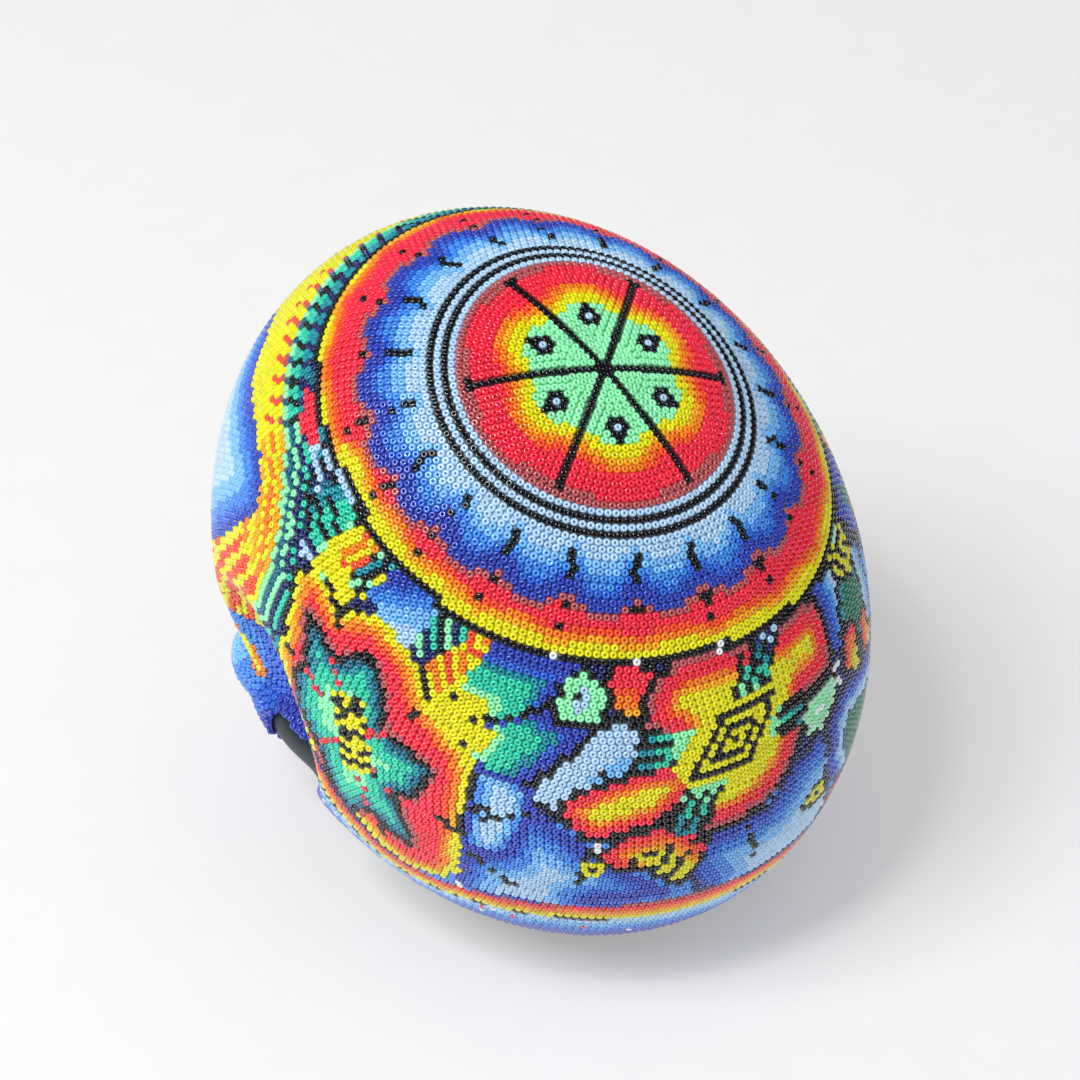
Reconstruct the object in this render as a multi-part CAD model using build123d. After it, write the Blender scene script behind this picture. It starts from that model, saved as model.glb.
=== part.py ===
from build123d import *
import math
import os

# A life-size decorative skull without its lower jaw: a solid resin casting, a thin wax
# bed over it and glass seed beads pressed into the wax, field by field.
# Millimetres, +Z up, face toward -Y, the skull's own left side toward +X.
# The origin is on the flat the skull stands on, in the mid plane, under the braincase.

# ---- driving dimensions ----
HALF_WIDTH = 79.0           # braincase, over the beads
HALF_LENGTH = 84.0
WIDEST_Z = 75.0             # height of the widest outline
UPPER_HEIGHT = 84.5         # from the widest outline to the crown
LOWER_DEPTH = 84.0          # half-axis of the lower half, cut off flat at the floor
CASE_Y = -2.0               # middle of the widest outline
LEAN = -0.23                # the braincase leans forward this much per mm of height

BEAD_HEIGHT = 1.4           # thickness of the bead layer
WAX = 0.5                   # thickness of the wax bed under it

CROWN = (0, 18.8, 150.2)    # centre of the crown medallion
CROWN_TILT = -24.6          # turn about X that leans the medallion back
FLOWER_RADIUS = 33.0
RINGS_RADIUS = 39.8
PETALS_RADIUS = 52.6
BORDER_RADIUS = 62.9

TEMPLE_Y = 17.0             # middle of the temple stars
TEMPLE_Z = 80.0
STAR_RADIUS = 22.0
HALO_RADIUS = 34.0
DIAMOND = (8.0, 84.0)       # X and Z of the diamond on the back of the head
DIAMOND_RADIUS = 34.0

RIM_Z = 56.0                # upper edge of the rainbow rim at mid length
RIM_SLOPE = 0.27            # it drops this much per mm toward the back
RIM_WIDTH = 5.6
RIM_FRONT_Y = -8.0          # the rim runs out behind the cheekbones
BARE_BASE_Z = 12.0          # below this the casting is bare
TOOTH_BOTTOM_Z = 3.0
TOOTH_TOP_Z = 14.0
JAW_TOP_Z = 47.0
BROW_BOTTOM_Z = 67.0
BROW_TOP_Z = 94.0
FACE_Y = -30.0              # everything in front of this belongs to the face
JAW_HALF_WIDTH = 33.0
NOSE_HALF_WIDTH = 20.5
REAR_Y = 28.0               # side fields end and rear fields begin

ARCH_X = 38.0               # the bare cheekbone arches: from this far out,
ARCH_FRONT_Y = -37.0        # behind this line
ARCH_TOP_Z = 47.0           # and below this height

CROWN_PLUG = (100.0, -20.0)  # length of the medallion's cutters, and their middle
TEMPLE_PLUG = (70.0, 80.0)   # the same for the temple stars, along X
DIAMOND_PLUG = (80.0, 85.0)  # the same for the diamond field, along Y
BIG = 400.0                 # half-spaces


def ellipsoid(centre, half, turn=0.0, pitch=0.0, lean=0.0):
    """Ellipsoid with half-axes along X, Y, Z, turned about Z, then pitched about X."""
    stretch = Matrix([
        [half[0], 0, 0, 0],
        [0, half[1], lean * half[2], 0],
        [0, 0, half[2], 0],
    ])
    return Pos(*centre) * Rot(pitch, 0, turn) * Sphere(1.0).transform_geometry(stretch)


def slab(z_low, z_high):
    """Everything between two heights."""
    return Pos(0, 0, (z_low + z_high) / 2) * Box(BIG, BIG, z_high - z_low)


def braincase(skin):
    """Two half ellipsoids that share their widest outline."""
    centre = (0, CASE_Y, WIDEST_Z)
    across = HALF_WIDTH - skin
    along = HALF_LENGTH - skin
    upper = ellipsoid(centre, (across, along, UPPER_HEIGHT - skin), lean=LEAN)
    lower = ellipsoid(centre, (across, along, LOWER_DEPTH - skin), lean=LEAN)
    return (upper & slab(WIDEST_Z, BIG)) + (lower & slab(0, WIDEST_Z))


def face_lumps(skin):
    """Brow, nose bridge, cheekbones and upper jaw, the skin taken off each."""
    def lump(centre, half, turn=0.0, pitch=0.0):
        return ellipsoid(centre, [h - skin for h in half], turn, pitch)

    between_brows = lump((0, -72, 80), (17, 22, 12))
    nose_bridge = lump((0, -79, 62), (8, 15, 20), pitch=-10)
    tooth_arch = lump((0, -65, 19), (30, 29, 25))
    lumps = [between_brows, nose_bridge, tooth_arch]
    for side in (-1, 1):
        brow = lump((side * 27, -64, 75), (27, 21, 11), turn=side * 15)
        brow_end = lump((side * 15, -71, 77), (17, 20, 10))
        socket_edge = lump((side * 47, -53, 61), (7.5, 12, 18), turn=side * 14)
        cheekbone = lump((side * 47.5, -45, 43), (13, 17, 14), turn=side * 20)
        cheek_front = lump((side * 36, -59, 38), (14, 14, 15), turn=side * 20)
        arch = lump((side * 56, -27, 39), (10, 26, 9), turn=side * -8)
        jaw_side = lump((side * 22, -66, 34), (15, 19, 19))
        lumps += [brow, brow_end, socket_edge, cheekbone, cheek_front, arch, jaw_side]
    return lumps


def temple_dishes(skin):
    """Shallow hollows behind the brow and the cheekbones."""
    half = (34 + skin, 44 + skin, 50 + skin)
    return [ellipsoid((side * 97.5, -24, 54), half, turn=side * -42) for side in (-1, 1)]


def skull_form(skin):
    form = braincase(skin)
    for dish in temple_dishes(skin):
        form = form - dish
    for lump in face_lumps(skin):
        form = form + lump
    return form & slab(0, BIG)


def hollows():
    nasal_opening = ellipsoid((0, -90, 39), (10, 20, 12))
    sockets = [ellipsoid((side * 28, -86, 58), (15.5, 31, 13), turn=side * 8) for side in (-1, 1)]
    return [nasal_opening] + sockets


def box(x, y, z):
    """Box from (low, high) pairs along X, Y and Z."""
    size = [high - low for low, high in (x, y, z)]
    middle = [(high + low) / 2 for low, high in (x, y, z)]
    return Pos(*middle) * Box(*size)


def bare_places():
    """Where the casting shows: underneath, and the cheekbone arches."""
    places = [
        box((-BIG, BIG), (FACE_Y - 2, BIG), (-1, BARE_BASE_Z)),
        box((-BIG, BIG), (-BIG, BIG), (-1, TOOTH_BOTTOM_Z)),
    ]
    for side in (-1, 1):
        x = sorted((side * ARCH_X, side * BIG))
        places.append(box(x, (ARCH_FRONT_Y, RIM_FRONT_Y + 2), (-1, ARCH_TOP_Z)))
    return places


def crown_cutter(radius):
    """Round plug across the crown, square to the medallion."""
    length, middle = CROWN_PLUG
    return Pos(*CROWN) * Rot(CROWN_TILT, 0, 0) * Pos(0, 0, middle) * Cylinder(radius, length)


def temple_cutter(side, radius):
    length, middle = TEMPLE_PLUG
    plug = Rot(0, 90, 0) * Cylinder(radius, length)
    return Pos(side * middle, TEMPLE_Y, TEMPLE_Z) * plug


def diamond_cutter():
    length, middle = DIAMOND_PLUG
    plug = Rot(90, 0, 0) * Cylinder(DIAMOND_RADIUS, length)
    return Pos(DIAMOND[0], middle, DIAMOND[1]) * plug


def below_rim(drop):
    """Everything under the sloping rim line, lowered by drop."""
    angle = -math.degrees(math.atan(RIM_SLOPE))
    under = Pos(0, 0, RIM_Z - drop) * Rot(angle, 0, 0) * Pos(0, 0, -BIG / 2) * Box(BIG, BIG, BIG)
    return under & box((-BIG, BIG), (RIM_FRONT_Y, BIG), (-BIG, BIG))


def field_cutters():
    """Bead fields in the order they are taken from the bead layer."""
    fields = [
        ("crown_flower_beads", crown_cutter(FLOWER_RADIUS)),
        ("crown_ring_beads", crown_cutter(RINGS_RADIUS)),
        ("crown_petal_beads", crown_cutter(PETALS_RADIUS)),
        ("crown_border_beads", crown_cutter(BORDER_RADIUS)),
        ("rim_blue_beads", below_rim(RIM_WIDTH)),
        ("rim_rainbow_beads", below_rim(0)),
    ]
    front = (-BIG, FACE_Y)
    fields.append(("tooth_beads", box((-BIG, BIG), front, (-1, TOOTH_TOP_Z))))
    jaw_x = (-JAW_HALF_WIDTH, JAW_HALF_WIDTH)
    fields.append(("upper_jaw_beads", box(jaw_x, front, (0, JAW_TOP_Z))))
    nose_x = (-NOSE_HALF_WIDTH, NOSE_HALF_WIDTH)
    fields.append(("nose_beads", box(nose_x, front, (0, BROW_BOTTOM_Z))))
    for side, name in ((1, "left"), (-1, "right")):
        x = sorted((0, side * BIG))
        fields.append((name + "_cheek_beads", box(x, (-BIG, FACE_Y + 12), (0, BROW_BOTTOM_Z))))
        fields.append((name + "_temple_star_beads", temple_cutter(side, STAR_RADIUS)))
        fields.append((name + "_temple_halo_beads", temple_cutter(side, HALO_RADIUS)))
        fields.append((name + "_brow_beads", box(x, front, (0, BROW_TOP_Z))))
    fields.append(("forehead_beads", box((-BIG, BIG), front, (0, BIG))))
    fields.append(("back_diamond_beads", diamond_cutter()))
    for side, name in ((1, "left"), (-1, "right")):
        x = sorted((0, side * BIG))
        fields.append((name + "_rear_beads", box(x, (REAR_Y, BIG), (0, BIG))))
        fields.append((name + "_side_beads", box(x, (-BIG, REAR_Y), (0, BIG))))
    return fields


def save(shape, node):
    export_step(shape, "parts/%s.step" % node)
    print(node, "solids", len(shape.solids()), "volume", round(shape.volume, 1))


# ---- build ----
os.makedirs("parts", exist_ok=True)

outer = skull_form(0.0)
under_beads = skull_form(BEAD_HEIGHT)
casting = skull_form(BEAD_HEIGHT + WAX)
bead_layer = outer - under_beads
wax_bed = under_beads - casting

for cut in hollows():
    casting = casting - cut
    wax_bed = wax_bed - cut
    bead_layer = bead_layer - cut
for place in bare_places():
    wax_bed = wax_bed - place
    bead_layer = bead_layer - place

save(casting, "core_casting")
save(wax_bed, "wax_bed")
for node, cutter in field_cutters():
    field = bead_layer & cutter
    bead_layer = bead_layer - cutter
    save(field, node)
print("left over", bead_layer.volume if bead_layer else 0)
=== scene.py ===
import math
import bpy
import numpy as np
from mathutils import Matrix, Vector
from mathutils.bvhtree import BVHTree
from mathutils.kdtree import KDTree


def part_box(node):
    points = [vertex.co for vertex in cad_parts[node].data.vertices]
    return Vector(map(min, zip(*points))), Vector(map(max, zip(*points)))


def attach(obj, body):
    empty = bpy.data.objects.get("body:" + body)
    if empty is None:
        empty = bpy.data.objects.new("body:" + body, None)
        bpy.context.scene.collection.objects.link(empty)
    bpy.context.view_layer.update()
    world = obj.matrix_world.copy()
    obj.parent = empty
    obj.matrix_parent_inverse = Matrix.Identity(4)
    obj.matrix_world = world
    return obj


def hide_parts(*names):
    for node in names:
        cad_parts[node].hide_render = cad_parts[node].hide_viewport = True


# A life-size skull covered with glass seed beads. Sizes are in millimetres, except those
# of bumps, floor, lights and camera, which are in metres as the meshes are.

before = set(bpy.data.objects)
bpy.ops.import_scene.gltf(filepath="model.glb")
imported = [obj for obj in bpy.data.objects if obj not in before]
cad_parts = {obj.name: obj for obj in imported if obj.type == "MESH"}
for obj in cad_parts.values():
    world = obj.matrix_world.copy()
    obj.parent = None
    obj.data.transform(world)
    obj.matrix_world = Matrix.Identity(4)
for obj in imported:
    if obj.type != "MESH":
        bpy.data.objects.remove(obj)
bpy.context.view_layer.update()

MM = 0.001
PITCH = 1.94  # centre to centre of neighbouring beads in a row
ROW = 1.70  # distance between rows
BEAD_SEGMENTS = 10
SKIN_OVER_CASTING = 1.9  # tops of the beads above the casting
WAX_OVER_CASTING = 0.95  # the wax swells up between the beads
NEAR_FIELD = 1.6  # beads are laid only this close to the CAD bead layer
CROWN_TILT = math.radians(24.6)
CROWN_DEPTH = 75.0  # rows are measured out from this far inside the crown
CHUNK = 1400  # beads in one mesh at most

rng = np.random.default_rng(20)

# ---- palette
PALETTE = {
    "black": "14151A", "white": "EEF2F4", "pale": "BCE0FF", "sky": "7CC0F6",
    "mid": "3F88DC", "blue": "2C62CC", "indigo": "3044B0", "navy": "1A2460",
    "brown": "B0545A", "red": "EA2E48", "vermilion": "F2502C", "orange": "FF8A1E",
    "amber": "FFB61A", "yellow": "DCD810", "mint": "92ECB4", "turquoise": "2CC4A6",
    "teal": "128C9C", "petrol": "10607C", "leaf": "AEE6C4", "green": "10755A",
}
NAMES = list(PALETTE)
INDEX = {name: i for i, name in enumerate(NAMES)}


def linear(hex_code):
    srgb = np.array([int(hex_code[i:i + 2], 16) for i in (0, 2, 4)]) / 255
    return np.where(srgb <= 0.04045, srgb / 12.92, ((srgb + 0.055) / 1.055) ** 2.4)


GLASS_GAIN = 1.15  # lit beads look this much darker than their glass
GLASS_LIMIT = 0.93  # no glass reflects more than this
TABLE = np.array([linear(PALETTE[name]) for name in NAMES])
TABLE = TABLE * np.minimum(GLASS_GAIN, GLASS_LIMIT / TABLE.max(axis=1))[:, None]


# ---- the skin the beads follow
VOXEL = 1.3  # the casting's creases are eased by a voxel skin
EASE_STEPS = 12


def linked(name, data):
    """A new object in the scene."""
    obj = bpy.data.objects.new(name, data)
    bpy.context.scene.collection.objects.link(obj)
    return obj


def place_tree(places):
    tree = KDTree(len(places))
    for i, place in enumerate(places):
        tree.insert(place, i)
    tree.balance()
    return tree


def triangles(names):
    """Vertices in metres and triangles of CAD nodes, joined, with the triangles of each."""
    verts, faces, sizes, start = [], [], [], 0
    for name in names:
        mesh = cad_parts[name].data
        co = np.empty(len(mesh.vertices) * 3, np.float32)
        mesh.vertices.foreach_get("co", co)
        verts.append(co.reshape(-1, 3))
        mesh.calc_loop_triangles()
        tri = np.empty(len(mesh.loop_triangles) * 3, int)
        mesh.loop_triangles.foreach_get("vertices", tri)
        faces.append(tri.reshape(-1, 3) + start)
        sizes.append(len(faces[-1]))
        start += len(mesh.vertices)
    return np.vstack(verts).astype(float), np.vstack(faces), sizes


def eased_casting():
    """The CAD casting with its creases eased, as (vertices in mm, faces)."""
    verts, faces, _ = triangles(["core_casting"])
    mesh = bpy.data.meshes.new("casting form")
    mesh.from_pydata(verts.tolist(), [], faces.tolist())
    obj = linked("casting form", mesh)
    remesh = obj.modifiers.new("skin", "REMESH")
    remesh.mode = "VOXEL"
    remesh.voxel_size = VOXEL * MM
    smooth = obj.modifiers.new("ease", "SMOOTH")
    smooth.factor = 0.5
    smooth.iterations = EASE_STEPS
    evaluated = obj.evaluated_get(bpy.context.evaluated_depsgraph_get())
    mesh = evaluated.to_mesh()
    co = np.empty(len(mesh.vertices) * 3)
    mesh.vertices.foreach_get("co", co)
    faces = [tuple(p.vertices) for p in mesh.polygons]
    evaluated.to_mesh_clear()
    bpy.data.objects.remove(obj)
    return co.reshape(-1, 3) / MM, faces


def diagonal_cross(corners):
    """Along each quad's normal and twice as long as its area."""
    return np.cross(corners[:, 2] - corners[:, 0], corners[:, 3] - corners[:, 1])


def vertex_normals(verts, quads):
    cross = diagonal_cross(verts[quads])
    out = np.zeros_like(verts)
    for k in range(4):
        np.add.at(out, quads[:, k], cross)
    return out / np.maximum(np.linalg.norm(out, axis=1), 1e-9)[:, None]


FIELDS = [name for name in sorted(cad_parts) if name.endswith("_beads")]
casting_verts, casting_faces = eased_casting()
casting_quads = np.array([f if len(f) == 4 else f + (f[2],) for f in casting_faces])
casting_normals = vertex_normals(casting_verts, casting_quads)
skin_verts = casting_verts + casting_normals * SKIN_OVER_CASTING
skin_tree = BVHTree.FromPolygons(skin_verts.tolist(), casting_faces)

field_verts, field_tris, field_sizes = triangles(FIELDS)
field_tree = BVHTree.FromPolygons((field_verts / MM).tolist(), field_tris.tolist())
field_ends = np.cumsum(field_sizes)


def field_of(point):
    """Which CAD bead field a point belongs to, and how far it is from it."""
    _, _, face, distance = field_tree.find_nearest(Vector(point))
    return int(np.searchsorted(field_ends, face, side="right")), distance


def on_skin(point):
    """The skin point nearest to a point, and the skin's normal there."""
    place, normal, _, _ = skin_tree.find_nearest(Vector(point))
    return np.array(place), np.array(normal)


# ---- rows round the crown
NORMAL = np.array([0, math.sin(CROWN_TILT), math.cos(CROWN_TILT)])
BACKWARD = np.array([0, math.cos(CROWN_TILT), -math.sin(CROWN_TILT)])
LEFTWARD = np.array([1.0, 0, 0])
BEARING_STEP = 3.0  # degrees round the crown
POLAR_STEP = 2.0  # degrees down from it
LAST_POLAR = 150.0
LAST_ARC = 172.0  # no row lies farther from the crown


def crown_point():
    low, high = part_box("crown_flower_beads")
    middle = (np.array(low) + np.array(high)) / 2 / MM
    start = middle - NORMAL * CROWN_DEPTH
    return np.array(skin_tree.ray_cast(Vector(start), Vector(NORMAL))[0])


HEART = crown_point() - NORMAL * CROWN_DEPTH


def ray(bearing, polar):
    """Direction from the heart of the skull."""
    b = math.radians(bearing)
    p = math.radians(polar)
    around = math.sin(b) * LEFTWARD + math.cos(b) * BACKWARD
    return math.cos(p) * NORMAL + math.sin(p) * around


BEARINGS = np.arange(-180, 180 + BEARING_STEP / 2, BEARING_STEP)
POLARS = np.arange(0, LAST_POLAR + 1, POLAR_STEP)
HITS = np.zeros((len(BEARINGS), len(POLARS), 3))
for i, bearing in enumerate(BEARINGS):
    for j, polar in enumerate(POLARS):
        HITS[i, j] = skin_tree.ray_cast(Vector(HEART), Vector(ray(bearing, polar)))[0]
ARCS = np.zeros(HITS.shape[:2])
ARCS[:, 1:] = np.cumsum(np.linalg.norm(np.diff(HITS, axis=1), axis=2), axis=1)


def on_bearing(i, arc):
    """Skin point on one of the measured bearings."""
    return np.array([np.interp(arc, ARCS[i], HITS[i, :, c]) for c in range(3)])


def at(bearing, arc):
    """Skin point at a bearing (0 back, 90 left) and an arc length from the crown."""
    i = (bearing + 180) % 360 / BEARING_STEP
    low = int(i) % (len(BEARINGS) - 1)
    share = i - int(i)
    return on_bearing(low, arc) * (1 - share) + on_bearing(low + 1, arc) * share


def polar_place(points):
    """Bearing and arc length of points, measured along the skin."""
    rays = points - HEART
    rays = rays / np.linalg.norm(rays, axis=1)[:, None]
    polar = np.degrees(np.arccos(np.clip(rays @ NORMAL, -1, 1)))
    bearing = np.degrees(np.arctan2(rays @ LEFTWARD, rays @ BACKWARD))
    arcs = np.zeros(len(points))
    for k in range(len(points)):
        i = int((bearing[k] + 180) / BEARING_STEP) % (len(BEARINGS) - 1)
        share = (bearing[k] + 180) / BEARING_STEP % 1
        near = np.interp(polar[k], POLARS, ARCS[i])
        far = np.interp(polar[k], POLARS, ARCS[i + 1])
        arcs[k] = near * (1 - share) + far * share
    return bearing, arcs


FACE_TOP = 95.0  # tops are Z and lines are Y
FACE_LINE = -33.0
CHEEK_TOP = 67.0
CHEEK_LINE = -18.0


def in_face(point):
    """True in front, where beads follow the lumps of the face and not the rows."""
    _, y, z = point
    return (y < FACE_LINE and z < FACE_TOP) or (z < CHEEK_TOP and y < CHEEK_LINE)


FLOWER_ARC = 32.0  # within this the rows break at the spokes
SPOKES = 6
FIRST_SPOKE = -4.0  # bearing
SECTOR = 360 / SPOKES


def ring(arc):
    """Evenly spaced points of one row."""
    line = np.array([on_bearing(i, arc) for i in range(len(BEARINGS))])
    steps = np.linalg.norm(np.diff(line, axis=0), axis=1)
    along = np.concatenate([[0], np.cumsum(steps)])
    if arc < FLOWER_ARC:
        spokes = FIRST_SPOKE + SECTOR * np.arange(-2, SPOKES - 1)
        starts = np.interp(spokes, BEARINGS, along)
        starts[-1] = starts[0] + along[-1]
        count = max(1, round(along[-1] / SPOKES / PITCH))
        places = np.concatenate([low + np.arange(count) * (high - low) / count
                                 for low, high in zip(starts, starts[1:])]) % along[-1]
    else:
        count = max(1, round(along[-1] / PITCH))
        half = 0.5 * (round(arc / ROW) % 2)
        places = (np.arange(count) + half) * along[-1] / count
    return np.array([[np.interp(p, along, line[:, c]) for c in range(3)] for p in places])


row_points = [at(0, 0)]
for k in range(1, int(LAST_ARC / ROW)):
    for point in ring(k * ROW):
        if in_face(point) or field_of(point)[1] > NEAR_FIELD:
            continue
        row_points.append(point)
row_count = len(row_points)


# ---- beads over the face
DART_GAP = 1.54  # beads are dropped at least this far apart, then eased
DARTS = 26  # tries per bead
FACE_REACH = 2.36  # face beads nearer than this push each other
FACE_STEPS = 14
ALL_REACH = 1.88  # and so do all beads, at the end
ALL_STEPS = 3
PUSH = 0.35  # share of the crowding eased in one step
ROWS_MARGIN = 4.0  # face beads keep clear of rows this near the face
ON_SPOKE = 0.25  # beads this near a spoke's middle line are part of it
FLOOR_CLEAR = 1.05  # no bead's middle lies lower, so none dips into the floor


def face_darts():
    """Random points on the face part of the skin."""
    corners = skin_verts[casting_quads]
    middles = corners.mean(axis=1)
    rough = (middles[:, 1] < CHEEK_LINE + 1) & (middles[:, 2] < FACE_TOP + 1)
    keep = [i for i in np.nonzero(rough)[0]
            if in_face(middles[i]) and field_of(middles[i])[1] < NEAR_FIELD]
    corners = corners[keep]
    area = np.linalg.norm(diagonal_cross(corners), axis=1) / 2
    count = int(area.sum() / (PITCH * ROW) * DARTS)
    chosen = rng.choice(len(keep), count, p=area / area.sum())
    u = rng.random((count, 1))
    v = rng.random((count, 1))
    c = corners[chosen]
    lower = c[:, 0] * (1 - u) + c[:, 1] * u
    upper = c[:, 3] * (1 - u) + c[:, 2] * u
    return lower * (1 - v) + upper * v


def scatter(darts, taken):
    """The darts that keep their distance from each other and from the rows."""
    cells = {}

    def cell(point):
        return tuple(np.floor(point / DART_GAP).astype(int))

    for point in taken:
        cells.setdefault(cell(point), []).append(point)
    out = []
    for point in darts:
        a, b, c = cell(point)
        near = [other for i in (a - 1, a, a + 1) for j in (b - 1, b, b + 1) for k in (c - 1, c, c + 1)
                for other in cells.get((i, j, k), ())]
        if all((point - other) @ (point - other) >= DART_GAP ** 2 for other in near):
            cells.setdefault((a, b, c), []).append(point)
            out.append(point)
    return out


def settle(points, loose, steps, reach):
    """Push crowded beads apart, keeping them on the skin."""
    for _ in range(steps):
        tree = place_tree(points)
        moved = points.copy()
        for i in loose:
            push = np.zeros(3)
            for place, j, d in tree.find_range(points[i], reach):
                if j != i and d > 1e-6:
                    push += (points[i] - np.array(place)) * ((reach - d) / d)
            moved[i] = on_skin(points[i] + push * PUSH)[0]
        points = moved
    return points


row_points = np.array(row_points)
front_rows = [p for p in row_points if p[1] < CHEEK_LINE + ROWS_MARGIN or p[2] < CHEEK_TOP]
points = np.vstack([row_points, scatter(face_darts(), front_rows)])
points = settle(points, range(row_count, len(points)), FACE_STEPS, FACE_REACH)
bearing, arc = polar_place(points)
off_spoke = (bearing - FIRST_SPOKE + SECTOR / 2) % SECTOR - SECTOR / 2
on_spoke = (arc < FLOWER_ARC) & (np.abs(np.radians(off_spoke)) * arc < ON_SPOKE)
points = settle(points, np.nonzero(~on_spoke)[0], ALL_STEPS, ALL_REACH)
clear = points[:, 2] > FLOOR_CLEAR
points = points[clear]
on_spoke = on_spoke[clear]
surface = [on_skin(p) for p in points]
points = np.array([s[0] for s in surface])
normals = np.array([s[1] for s in surface])
fields = np.array([field_of(p)[0] for p in points])
bearing, arc = polar_place(points)


# ---- painting with beads
RIM_HALF = 0.88  # half the width of a line one bead wide
RIM_INSIDE = 0.35  # an outline takes this much of the fill
RIM_OUTSIDE = 1.35  # and this much of what lies round it
NEAR_MARGIN = 4  # beads this far outside a motif's span can touch its lines
LINE_STEP = 4  # mm from point to point of a line on the skin
DEGREE = 1.3  # mm per degree of bearing, about, at most motifs
colour = np.full(len(points), INDEX["black"])
left_bearing = {1: bearing, -1: -bearing}  # bearings seen in the mirror for the right side


def around(side):
    """Bearings from -90 to 270, so that a motif can cross the forehead; side -1 mirrors."""
    return (left_bearing[side] + 90) % 360 - 90


def skin_line(outline, closed, side):
    """Points along an outline of (bearing, arc) corners, every few millimetres."""
    corners = list(outline) + ([outline[0]] if closed else [])
    line = []
    for (b0, a0), (b1, a1) in zip(corners, corners[1:]):
        count = max(1, int(max(abs(b1 - b0) * DEGREE, abs(a1 - a0)) / LINE_STEP))
        for k in range(count):
            share = k / count
            line.append(at(side * (b0 + (b1 - b0) * share), a0 + (a1 - a0) * share))
    line.append(at(side * corners[-1][0], corners[-1][1]))
    return np.array(line)


def distance(line, mask):
    """Distance in mm from each masked bead to a line of points."""
    out = np.full(len(points), np.inf)
    place = points[mask]
    best = np.full(len(place), np.inf)
    for a, b in zip(line, line[1:]):
        step = b - a
        t = np.clip(((place - a) @ step) / max(step @ step, 1e-9), 0, 1)
        best = np.minimum(best, np.linalg.norm(place - a - t[:, None] * step, axis=1))
    out[mask] = best
    return out


def inside(outline, side=1):
    """Which beads lie within an outline, by counting the edges beyond them."""
    x, y = around(side), arc
    mask = np.zeros(len(points), bool)
    for (x0, y0), (x1, y1) in zip(outline, outline[1:] + outline[:1]):
        if y0 == y1:
            continue
        crossing = (y > min(y0, y1)) & (y <= max(y0, y1))
        mask ^= crossing & (x < x0 + (y - y0) * (x1 - x0) / (y1 - y0))
    return mask


def paint(mask, name):
    """Give the masked beads a colour of the palette."""
    colour[mask] = INDEX[name]


def runs(text):
    """'red 3, orange' -> colours with how many rows each lasts."""
    out = []
    for part in text.split(","):
        words = part.split()
        out.append((words[0], float(words[1]) if len(words) > 1 else 1.0))
    return out


def shade(mask, depth, text, row=ROW):
    """Colour masked beads by depth, run after run; the last run fills the rest."""
    limit = -np.inf
    upper = 0.0
    parts = runs(text)
    for k, (name, count) in enumerate(parts):
        upper += count * row
        last = k == len(parts) - 1
        paint(mask & (depth >= limit) & ((depth < upper) | last), name)
        limit = upper


def motif(outline, text, edge=None, rim="black", side=1):
    """Fill an outline with runs of colour inward from its edge, or from the given edge."""
    mask = inside(outline, side)
    line = skin_line(edge or outline, edge is None, side)
    start = RIM_INSIDE if rim else 0.0
    shade(mask, distance(line, mask) - start, text)
    if rim:
        outlined(outline, mask, rim, side)


def outlined(outline, mask, rim, side):
    """Draw a line along the edge of an outline, mostly outside it."""
    away = distance(skin_line(outline, True, side), beads_near(outline, side))
    paint((mask & (away < RIM_INSIDE)) | (~mask & (away < RIM_OUTSIDE)), rim)


def beads_near(outline, side):
    """Beads within the outline's own span of bearing and arc, and a margin."""
    corners = np.array(outline)
    low = corners.min(axis=0) - NEAR_MARGIN
    high = corners.max(axis=0) + NEAR_MARGIN
    x = around(side)
    return (x > low[0]) & (x < high[0]) & (arc > low[1]) & (arc < high[1])


def trace(line, half=RIM_HALF, side=1, name="black"):
    """One bead wide line through (bearing, arc) points."""
    away = distance(skin_line(line, False, side), beads_near(line, side))
    paint(away < half, name)


def dot(b, a, name, radius=1.15, side=1):
    """Colour the beads round one place."""
    centre = at(side * b, a)
    paint(np.linalg.norm(points - centre, axis=1) < radius, name)


def slope(outline, start, end, text, side=1, rim="black"):
    """Fill an outline with runs of colour measured from start toward end."""
    mask = inside(outline, side)
    a = at(side * start[0], start[1])
    b = at(side * end[0], end[1])
    step = b - a
    share = ((points - a) @ step) / (step @ step)
    parts = runs(text)
    total = sum(count for _, count in parts)
    shade(mask, share * total, text, 1.0)
    if rim:
        outlined(outline, mask, rim, side)


def spoke(b, low, high):
    """A radial line of single black beads, the nearest one of each row."""
    for k in range(math.ceil(low / ROW), int(high / ROW) + 1):
        place = at(b, k * ROW)
        paint(np.argmin(np.linalg.norm(points - place, axis=1)), "black")


# ---- crown medallion
FLOWER_BULGE = 4.4  # how far the flower's bands swell between spokes
FLOWER_SHADE = 31.9  # past this arc the red darkens
RINGS_START = 33.6
RINGS = (("brown", RINGS_START), ("pale", 35.2), ("black", 37.0), ("pale", 38.8), ("black", 40.6))
RINGS_END = 42.3
SPOKE_END = 32.6  # a black dot ends each spoke here
DROP_TAIL = (3.4, 4.2)  # past a drop's middle
PETAL_COUNT = 20
PETAL_END = 55.2  # arc of the cusps between petals
PETAL_BULGE = 3.4
PETAL_DIP = 4.6  # the petals' colours dip this far at the cusps
DROP_ARC = 14.6  # the small drops sit this far from the hub
DROP_REACH = 2.5  # a drop's ring of black beads
FIRST_CUSP = 8.0  # bearing
CUSP_DASH = (45.6, 47.6)  # arcs of the black marks at each cusp
CUSP_DOTS = ((50.2, 1.2), (58.4, 1.2), (62.4, 0.95))  # arc and radius
WHITE_CUSPS = 60  # up to this bearing, left of the back, white beads end the cusps
BORDER_WAVE = 1.6  # how far the border's bands dip between petals
FRONT_CUT = 2.2  # the border's yellow is this much narrower past these two bearings
FRONT_LEFT = 112
FRONT_RIGHT = -75
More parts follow.
